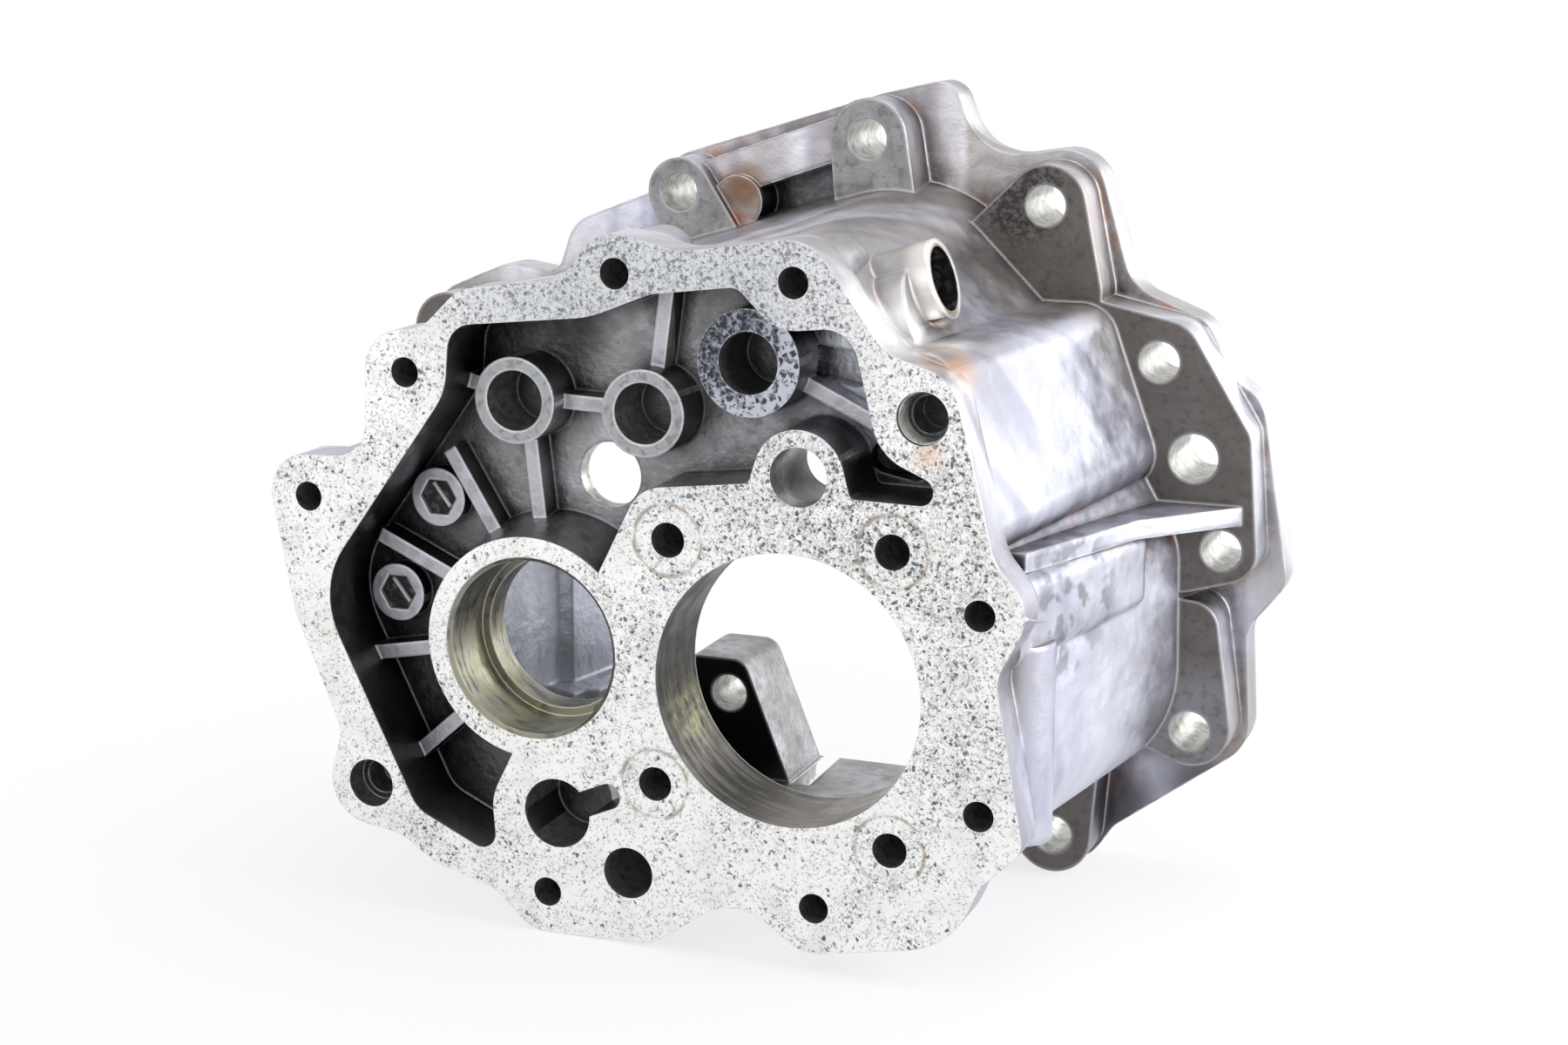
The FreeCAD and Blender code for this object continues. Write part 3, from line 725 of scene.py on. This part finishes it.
def prism(shape, loops_mm):
    """The faces of a closed solid through loops of as many points each."""
    loops = [[shape.verts.new([c * MM for c in point]) for point in loop] for loop in loops_mm]
    made = [shape.faces.new(loops[0][::-1]), shape.faces.new(loops[-1])]
    for near, far in zip(loops, loops[1:]):
        made += skin(shape, near, far)
    return made


def slab(shape, low, high):
    """A box from one corner to the other."""
    (x0, y0, z0), (x1, y1, z1) = low, high
    return prism(shape, [[(x0, y, z0), (x0, y, z1), (x1, y, z1), (x1, y, z0)] for y in (y0, y1)])


def inner_wall(shape):
    """The thin wall behind the layshaft bearing, turning in towards the back, and its ledge."""
    foot, back = INNER_WALL_FOOT_MM, INNER_WALL_THICKNESS_MM
    wall = [
        [(x, y, top), (x, y, foot), (x - back, y, foot), (x - back, y, top)]
        for x, y, top in INNER_WALL_MM
    ]
    ledge = [[(x + out, y, z) for out, z in LEDGE_MM] for x, y, _ in INNER_WALL_MM[1:]]
    return prism(shape, wall) + prism(shape, ledge)


def behind_windows(shape):
    """A skin behind the upper window in the pocket's floor, and a blind cup behind the lower."""
    made = slab(shape, *UPPER_SKIN_MM)
    (x0, y0, z0), (x1, y1, z1) = LOWER_CUP_MM
    wall, lap = CUP_WALL_MM, CUP_LAP_MM
    for low, high in (
        ((x0, y1 - wall, z0), (x1, y1, z1)),
        ((x0, y0, z0), (x0 + wall, y1 - lap, z1)),
        ((x1 - wall, y0, z0), (x1, y1 - lap, z1)),
        ((x0 + lap, y0, z0), (x1 - lap, y1 - lap, z0 + wall)),
        ((x0 + lap, y0, z1 - wall), (x1 - lap, y1 - lap, z1)),
    ):
        made += slab(shape, low, high)
    return made


def stamp_bars(shape):
    """A plain raised bar across each date stamp, which bears no figures."""
    along = Vector((math.cos(BAR_TURN), 0, math.sin(BAR_TURN)))
    across = Vector((-along.z, 0, along.x))
    a, b = BAR_LENGTH_MM / 2, BAR_WIDTH_MM / 2
    made = []
    for x, z in STAMPS_MM:
        middle = Vector((x, 0, z)) + across * BAR_OFFSET_MM
        corners = [middle + along * u + across * v for u, v in ((-a, -b), (-a, b), (a, b), (a, -b))]
        made += prism(shape, [[(c.x, y, c.z) for c in corners] for y in BAR_DEPTHS_MM])
    return made


def thread_ridges(shape, steps=40):
    """The crests of the thread at the mouth of the upper stepped hole, each a closed ring."""
    x, z = UPPER_DOWEL_MM
    angles = [math.tau * step / steps for step in range(steps)]
    made = []
    for turn in range(THREAD_TURNS):
        start = THREAD_START_MM + turn * THREAD_PITCH_MM
        loops = []
        for step, radius in enumerate((THREAD_ROOT_MM, THREAD_CREST_MM, THREAD_ROOT_MM)):
            y = start + step * THREAD_FLANK_MM
            loops.append([shape.verts.new((
                (x + radius * math.cos(a)) * MM, y * MM, (z + radius * math.sin(a)) * MM,
            )) for a in angles])
        for near, far in zip(loops, loops[1:] + loops[:1]):
            made += skin(shape, near, far)
    return made


def flash_spike(shape):
    """A sliver of flash left on the right lobe of the rim."""
    points = [shape.verts.new([c * MM for c in place]) for place in (*FLASH_FOOT_MM, FLASH_TIP_MM)]
    for corners in ((0, 1, 3), (1, 2, 3), (2, 0, 3), (0, 2, 1)):
        shape.faces.new([points[i] for i in corners])


def cast_surface(node):
    """The casting's surface as one clean mesh, with a finish for each face."""
    shape = bmesh.new()
    shape.from_mesh(node.data)
    bmesh.ops.remove_doubles(shape, verts=shape.verts, dist=MERGE_MM * MM)
    own_finish = {face: "inner" for face in inner_wall(shape)}
    own_finish.update({face: "crest" for face in stamp_bars(shape)})
    own_finish.update({face: "pocket" for face in behind_windows(shape)})
    own_finish.update({face: "drilled" for face in thread_ridges(shape)})
    flash_spike(shape)
    shape.normal_update()
    tree = BVHTree.FromBMesh(shape)
    names = list(FINISHES)
    for face in shape.faces:
        face.smooth = True
        face.material_index = names.index(own_finish.get(face) or finish_of(tree, face))
    for edge in shape.edges:
        edge.smooth = len(edge.link_faces) == 2 and edge.calc_face_angle() < SMOOTH_ANGLE
    mesh = bpy.data.meshes.new("housing_surface")
    shape.to_mesh(mesh)
    shape.free()
    for name, paint in FINISHES.values():
        mesh.materials.append(new_metal(name, paint))
    surface = bpy.data.objects.new("housing_surface", mesh)
    bpy.context.scene.collection.objects.link(surface)
    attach(surface, "root")
    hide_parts(CASTING)


# Studio -------------------------------------------------------------------------------

def seen_directly(tree):
    """1 for rays from the camera, mirrors and glass, which see the backdrop as white."""
    path = add(tree, "LightPath")
    kinds = ("Is Camera Ray", "Is Glossy Ray", "Is Transmission Ray")
    return combined(tree, "MAXIMUM", [path.outputs[kind] for kind in kinds])


def white_room():
    """A white surround that lights the casting softly from everywhere."""
    world = bpy.data.worlds.new("white_room")
    world.use_nodes = True
    tree = world.node_tree
    tree.nodes.clear()
    level = add(tree, "MapRange", {
        "Value": seen_directly(tree), "To Min": SURROUND_LEVEL, "To Max": 1.0,
    }).outputs["Result"]
    light = add(tree, "Background", {"Color": srgb("#ffffff"), "Strength": level})
    add(tree, "OutputWorld", {"Surface": light.outputs["Background"]})
    bpy.context.scene.world = world


def pale_floor(height):
    """A matt white floor under the casting that keeps a faint bluish shadow near it."""
    bpy.ops.mesh.primitive_plane_add(size=FLOOR_SIZE, location=(0, 0, height))
    floor = bpy.context.object
    floor.name = "studio_floor"
    material, tree = new_material("matt_white_paper")
    place = add(tree, "TexCoord").outputs["Object"]
    paper = add(tree, "BsdfPrincipled", {"Base Color": srgb("#f1f1f8"), "Roughness": 0.9})
    glow = add(tree, "Emission", {"Color": srgb("#ffffff"), "Strength": 1.0})
    away = round_spot(tree, place, (0, 60, 0), 100, 320, out=(1.0, FLOOR_SHARE))
    bright = combined(tree, "MULTIPLY", [seen_directly(tree), away])
    mixed = add(tree, "MixShader", {0: bright, 1: paper.outputs[0], 2: glow.outputs[0]})
    add(tree, "OutputMaterial", {"Surface": mixed.outputs[0]})
    floor.data.materials.append(material)


def soft_box(name, place, target, width, height, watts):
    """A rectangular lamp that points at a target."""
    lamp = bpy.data.lights.new(name, "AREA")
    lamp.shape = "RECTANGLE"
    lamp.size = width
    lamp.size_y = height
    lamp.energy = watts
    item = bpy.data.objects.new(name, lamp)
    item.location = place
    item.rotation_euler = (Vector(target) - Vector(place)).to_track_quat("-Z", "Y").to_euler()
    bpy.context.scene.collection.objects.link(item)


def camera():
    """A camera in front of the near face and to its right, looking slightly down."""
    lens = bpy.data.cameras.new("camera")
    lens.lens = CAMERA_LENS_MM
    lens.sensor_width = SENSOR_WIDTH_MM
    item = bpy.data.objects.new("camera", lens)
    turn, rise = CAMERA_AZIMUTH, CAMERA_ELEVATION
    ahead = Vector((
        -math.sin(turn) * math.cos(rise), math.cos(turn) * math.cos(rise), -math.sin(rise),
    ))
    item.location = CAMERA_PLACE
    item.rotation_euler = ahead.to_track_quat("-Z", "Y").to_euler()
    bpy.context.scene.collection.objects.link(item)
    bpy.context.scene.camera = item


cast_surface(frame["nodes"][CASTING])
white_room()
pale_floor(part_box(CASTING)[0].z)
middle = (cad_box[0] + cad_box[1]) / 2
soft_box("key_soft_box", (-0.5, -1.0, 0.35), middle, width=0.9, height=0.7, watts=2.5)
soft_box("top_soft_box", (0.1, 0.1, 1.0), middle, width=0.7, height=0.7, watts=3)
soft_box("side_soft_box", (0.95, 0.1, 0.35), middle, width=0.5, height=0.7, watts=9)
# This one lights the inner wall through the open back.
soft_box("back_soft_box", (0.35, 0.6, 0.15), (-0.08, 0.08, 0.0), width=0.4, height=0.4, watts=0.9)
camera()
bpy.context.scene.view_settings.view_transform = "Standard"
